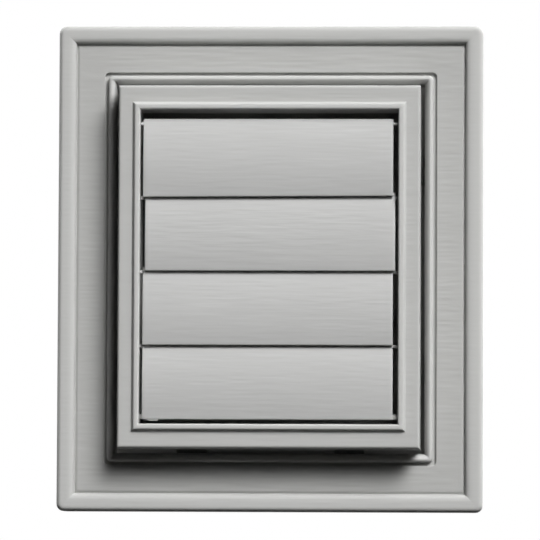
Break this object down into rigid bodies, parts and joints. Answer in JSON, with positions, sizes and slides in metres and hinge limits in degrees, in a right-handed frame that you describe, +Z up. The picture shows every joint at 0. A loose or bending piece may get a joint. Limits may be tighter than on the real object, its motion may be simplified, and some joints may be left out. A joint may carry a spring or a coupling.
{
  "type": "louvered exhaust vent",
  "caption": "Rectangular wall exhaust vent with gravity louvers in a raised hood, a broad trim ring that clips on and a round tail pipe for a duct.",
  "frame": {"origin": "where the duct axis meets the wall plane, at the back of the nail flange", "axes": "+X to the right seen from in front, +Y into the wall along the duct, +Z up"},
  "size_m": [0.1778, 0.1016, 0.2032],
  "materials": {
    "ring_plastic": "moulded light grey with a fine horizontal grain",
    "base_plastic": "moulded light grey, plain matte",
    "bezel_plastic": "moulded light grey with a fine horizontal grain",
    "pipe_plastic": "moulded light grey, plain matte",
    "louver_plastic": "moulded light grey with a fine horizontal grain"
  },
  "bodies": {
    "housing": {"trim_ring": "ring_plastic", "mounting_base": "base_plastic", "louver_frame": "bezel_plastic", "tail_pipe": "pipe_plastic"},
    "louver_1": {"louver_1": "louver_plastic"},
    "louver_2": {"louver_2": "louver_plastic"},
    "louver_3": {"louver_3": "louver_plastic"},
    "louver_4": {"louver_4": "louver_plastic"}
  },
  "joints": [
    {"name": "louver_1_hinge", "type": "hinge", "parent": "housing", "child": "louver_1", "pos_m": [0, -0.03775, 0.05945], "axis": [-1, 0, 0], "range_deg": [0, 60]},
    {"name": "louver_2_hinge", "type": "hinge", "parent": "housing", "child": "louver_2", "pos_m": [0, -0.03775, 0.02856], "axis": [-1, 0, 0], "range_deg": [0, 60]},
    {"name": "louver_3_hinge", "type": "hinge", "parent": "housing", "child": "louver_3", "pos_m": [0, -0.03775, -0.00232], "axis": [-1, 0, 0], "range_deg": [0, 60]},
    {"name": "louver_4_hinge", "type": "hinge", "parent": "housing", "child": "louver_4", "pos_m": [0, -0.03775, -0.03321], "axis": [-1, 0, 0], "range_deg": [0, 60]}
  ]
}
